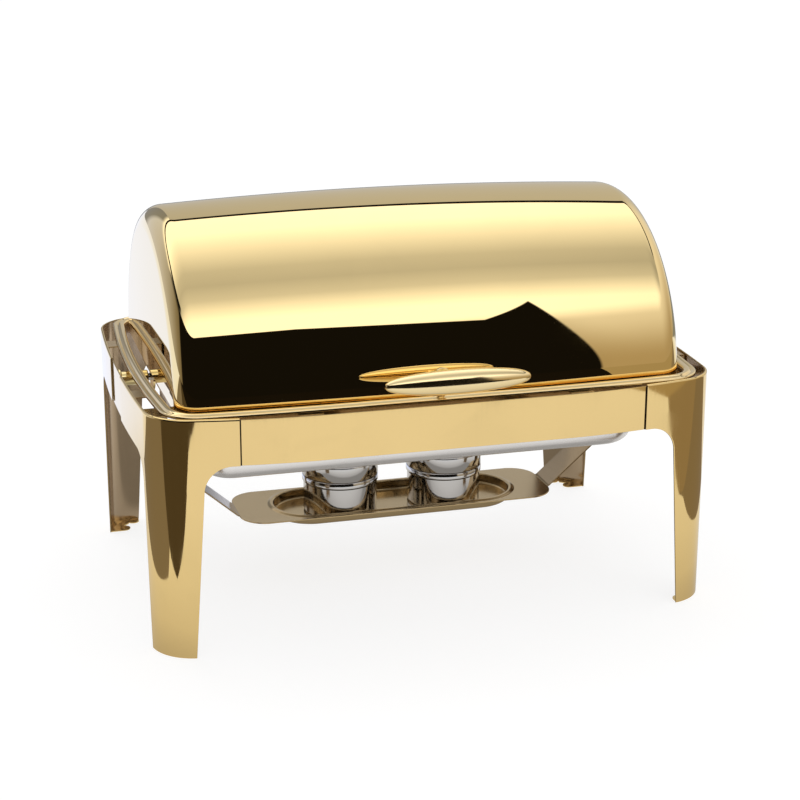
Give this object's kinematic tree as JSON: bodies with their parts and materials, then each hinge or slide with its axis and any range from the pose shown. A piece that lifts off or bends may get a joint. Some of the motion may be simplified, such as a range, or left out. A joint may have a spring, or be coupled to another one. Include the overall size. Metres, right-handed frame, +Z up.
{
  "type": "roll top chafer",
  "caption": "Rectangular buffet food warmer: bowed stand on bent-sheet legs, half-barrel lid that rolls back on side pivots, water and food pans, and a fuel tray with burners.",
  "frame": {"origin": "on the table under the middle of the whole chafer, handle included, 18.8 mm in front of the lid's pivot axis", "axes": "+X along the lid's pivot axis to the right, -Y to the front where the handle is, +Z up"},
  "size_m": [0.6478, 0.501, 0.4525],
  "materials": {
    "stand_gold": "polished gold-coloured plating",
    "bracket_gold": "satin gold-coloured plating",
    "rim_gold": "mirror-polished gold-coloured plating",
    "lid_gold": "mirror-polished gold-coloured plating",
    "handle_gold": "mirror-polished gold-coloured plating",
    "boss_brass": "turned brass",
    "fastener_steel": "bright steel",
    "pan_steel": "satin stainless steel",
    "burner_steel": "polished stainless steel",
    "damper_steel": "satin stainless steel"
  },
  "bodies": {
    "frame": {"leg_front_left": "stand_gold", "leg_front_right": "stand_gold", "leg_rear_left": "stand_gold", "leg_rear_right": "stand_gold", "panel_front": "stand_gold", "panel_rear": "stand_gold", "panel_left": "stand_gold", "panel_right": "stand_gold", "rim_ring": "rim_gold", "clip_front_left": "bracket_gold", "clip_front_right": "bracket_gold", "clip_rear_left": "bracket_gold", "clip_rear_right": "bracket_gold", "clip_left_front": "bracket_gold", "clip_left_rear": "bracket_gold", "clip_right_front": "bracket_gold", "clip_right_rear": "bracket_gold", "arm_front_left": "bracket_gold", "arm_front_right": "bracket_gold", "arm_left": "bracket_gold", "arm_right": "bracket_gold", "carrier": "bracket_gold", "pivot_boss_left": "boss_brass", "pivot_boss_right": "boss_brass", "pivot_pin_left": "fastener_steel", "pivot_pin_right": "fastener_steel", "tray_strap_left": "bracket_gold", "tray_strap_right": "bracket_gold", "fuel_tray": "bracket_gold"},
    "lid": {"lid_shell": "lid_gold", "lid_ear_left": "lid_gold", "lid_ear_right": "lid_gold", "handle_grip": "handle_gold", "handle_post": "handle_gold", "handle_washer": "fastener_steel", "handle_screw": "fastener_steel"},
    "water_pan": {"water_pan": "pan_steel"},
    "food_pan": {"food_pan": "pan_steel"},
    "burner_left": {"burner_cup_left": "burner_steel", "burner_cap_left": "burner_steel", "damper_rivet_left": "damper_steel"},
    "burner_right": {"burner_cup_right": "burner_steel", "burner_cap_right": "burner_steel", "damper_rivet_right": "damper_steel"},
    "damper_left": {"burner_damper_left": "damper_steel"},
    "damper_right": {"burner_damper_right": "damper_steel"}
  },
  "joints": [
    {"name": "lid_roll", "type": "hinge", "parent": "frame", "child": "lid", "pos_m": [0, 0.01878, 0.252], "axis": [-1, 0, 0], "range_deg": [0, 90]},
    {"name": "water_pan_lift", "type": "slide", "parent": "frame", "child": "water_pan", "axis": [0, 0, 1], "range_m": [0, 0.02]},
    {"name": "food_pan_lift", "type": "slide", "parent": "water_pan", "child": "food_pan", "axis": [0, 0, 1], "range_m": [0, 0.045]},
    {"name": "burner_lift_left", "type": "slide", "parent": "frame", "child": "burner_left", "axis": [0, 0, 1], "range_m": [0, 0.018]},
    {"name": "burner_lift_right", "type": "slide", "parent": "frame", "child": "burner_right", "axis": [0, 0, 1], "range_m": [0, 0.018]},
    {"name": "damper_swing_left", "type": "hinge", "parent": "burner_left", "child": "damper_left", "pos_m": [-0.064, 0.05527, 0.139], "axis": [0, 0, -1], "range_deg": [0, 90]},
    {"name": "damper_swing_right", "type": "hinge", "parent": "burner_right", "child": "damper_right", "pos_m": [0.064, 0.05527, 0.139], "axis": [0, 0, 1], "range_deg": [0, 90]}
  ]
}
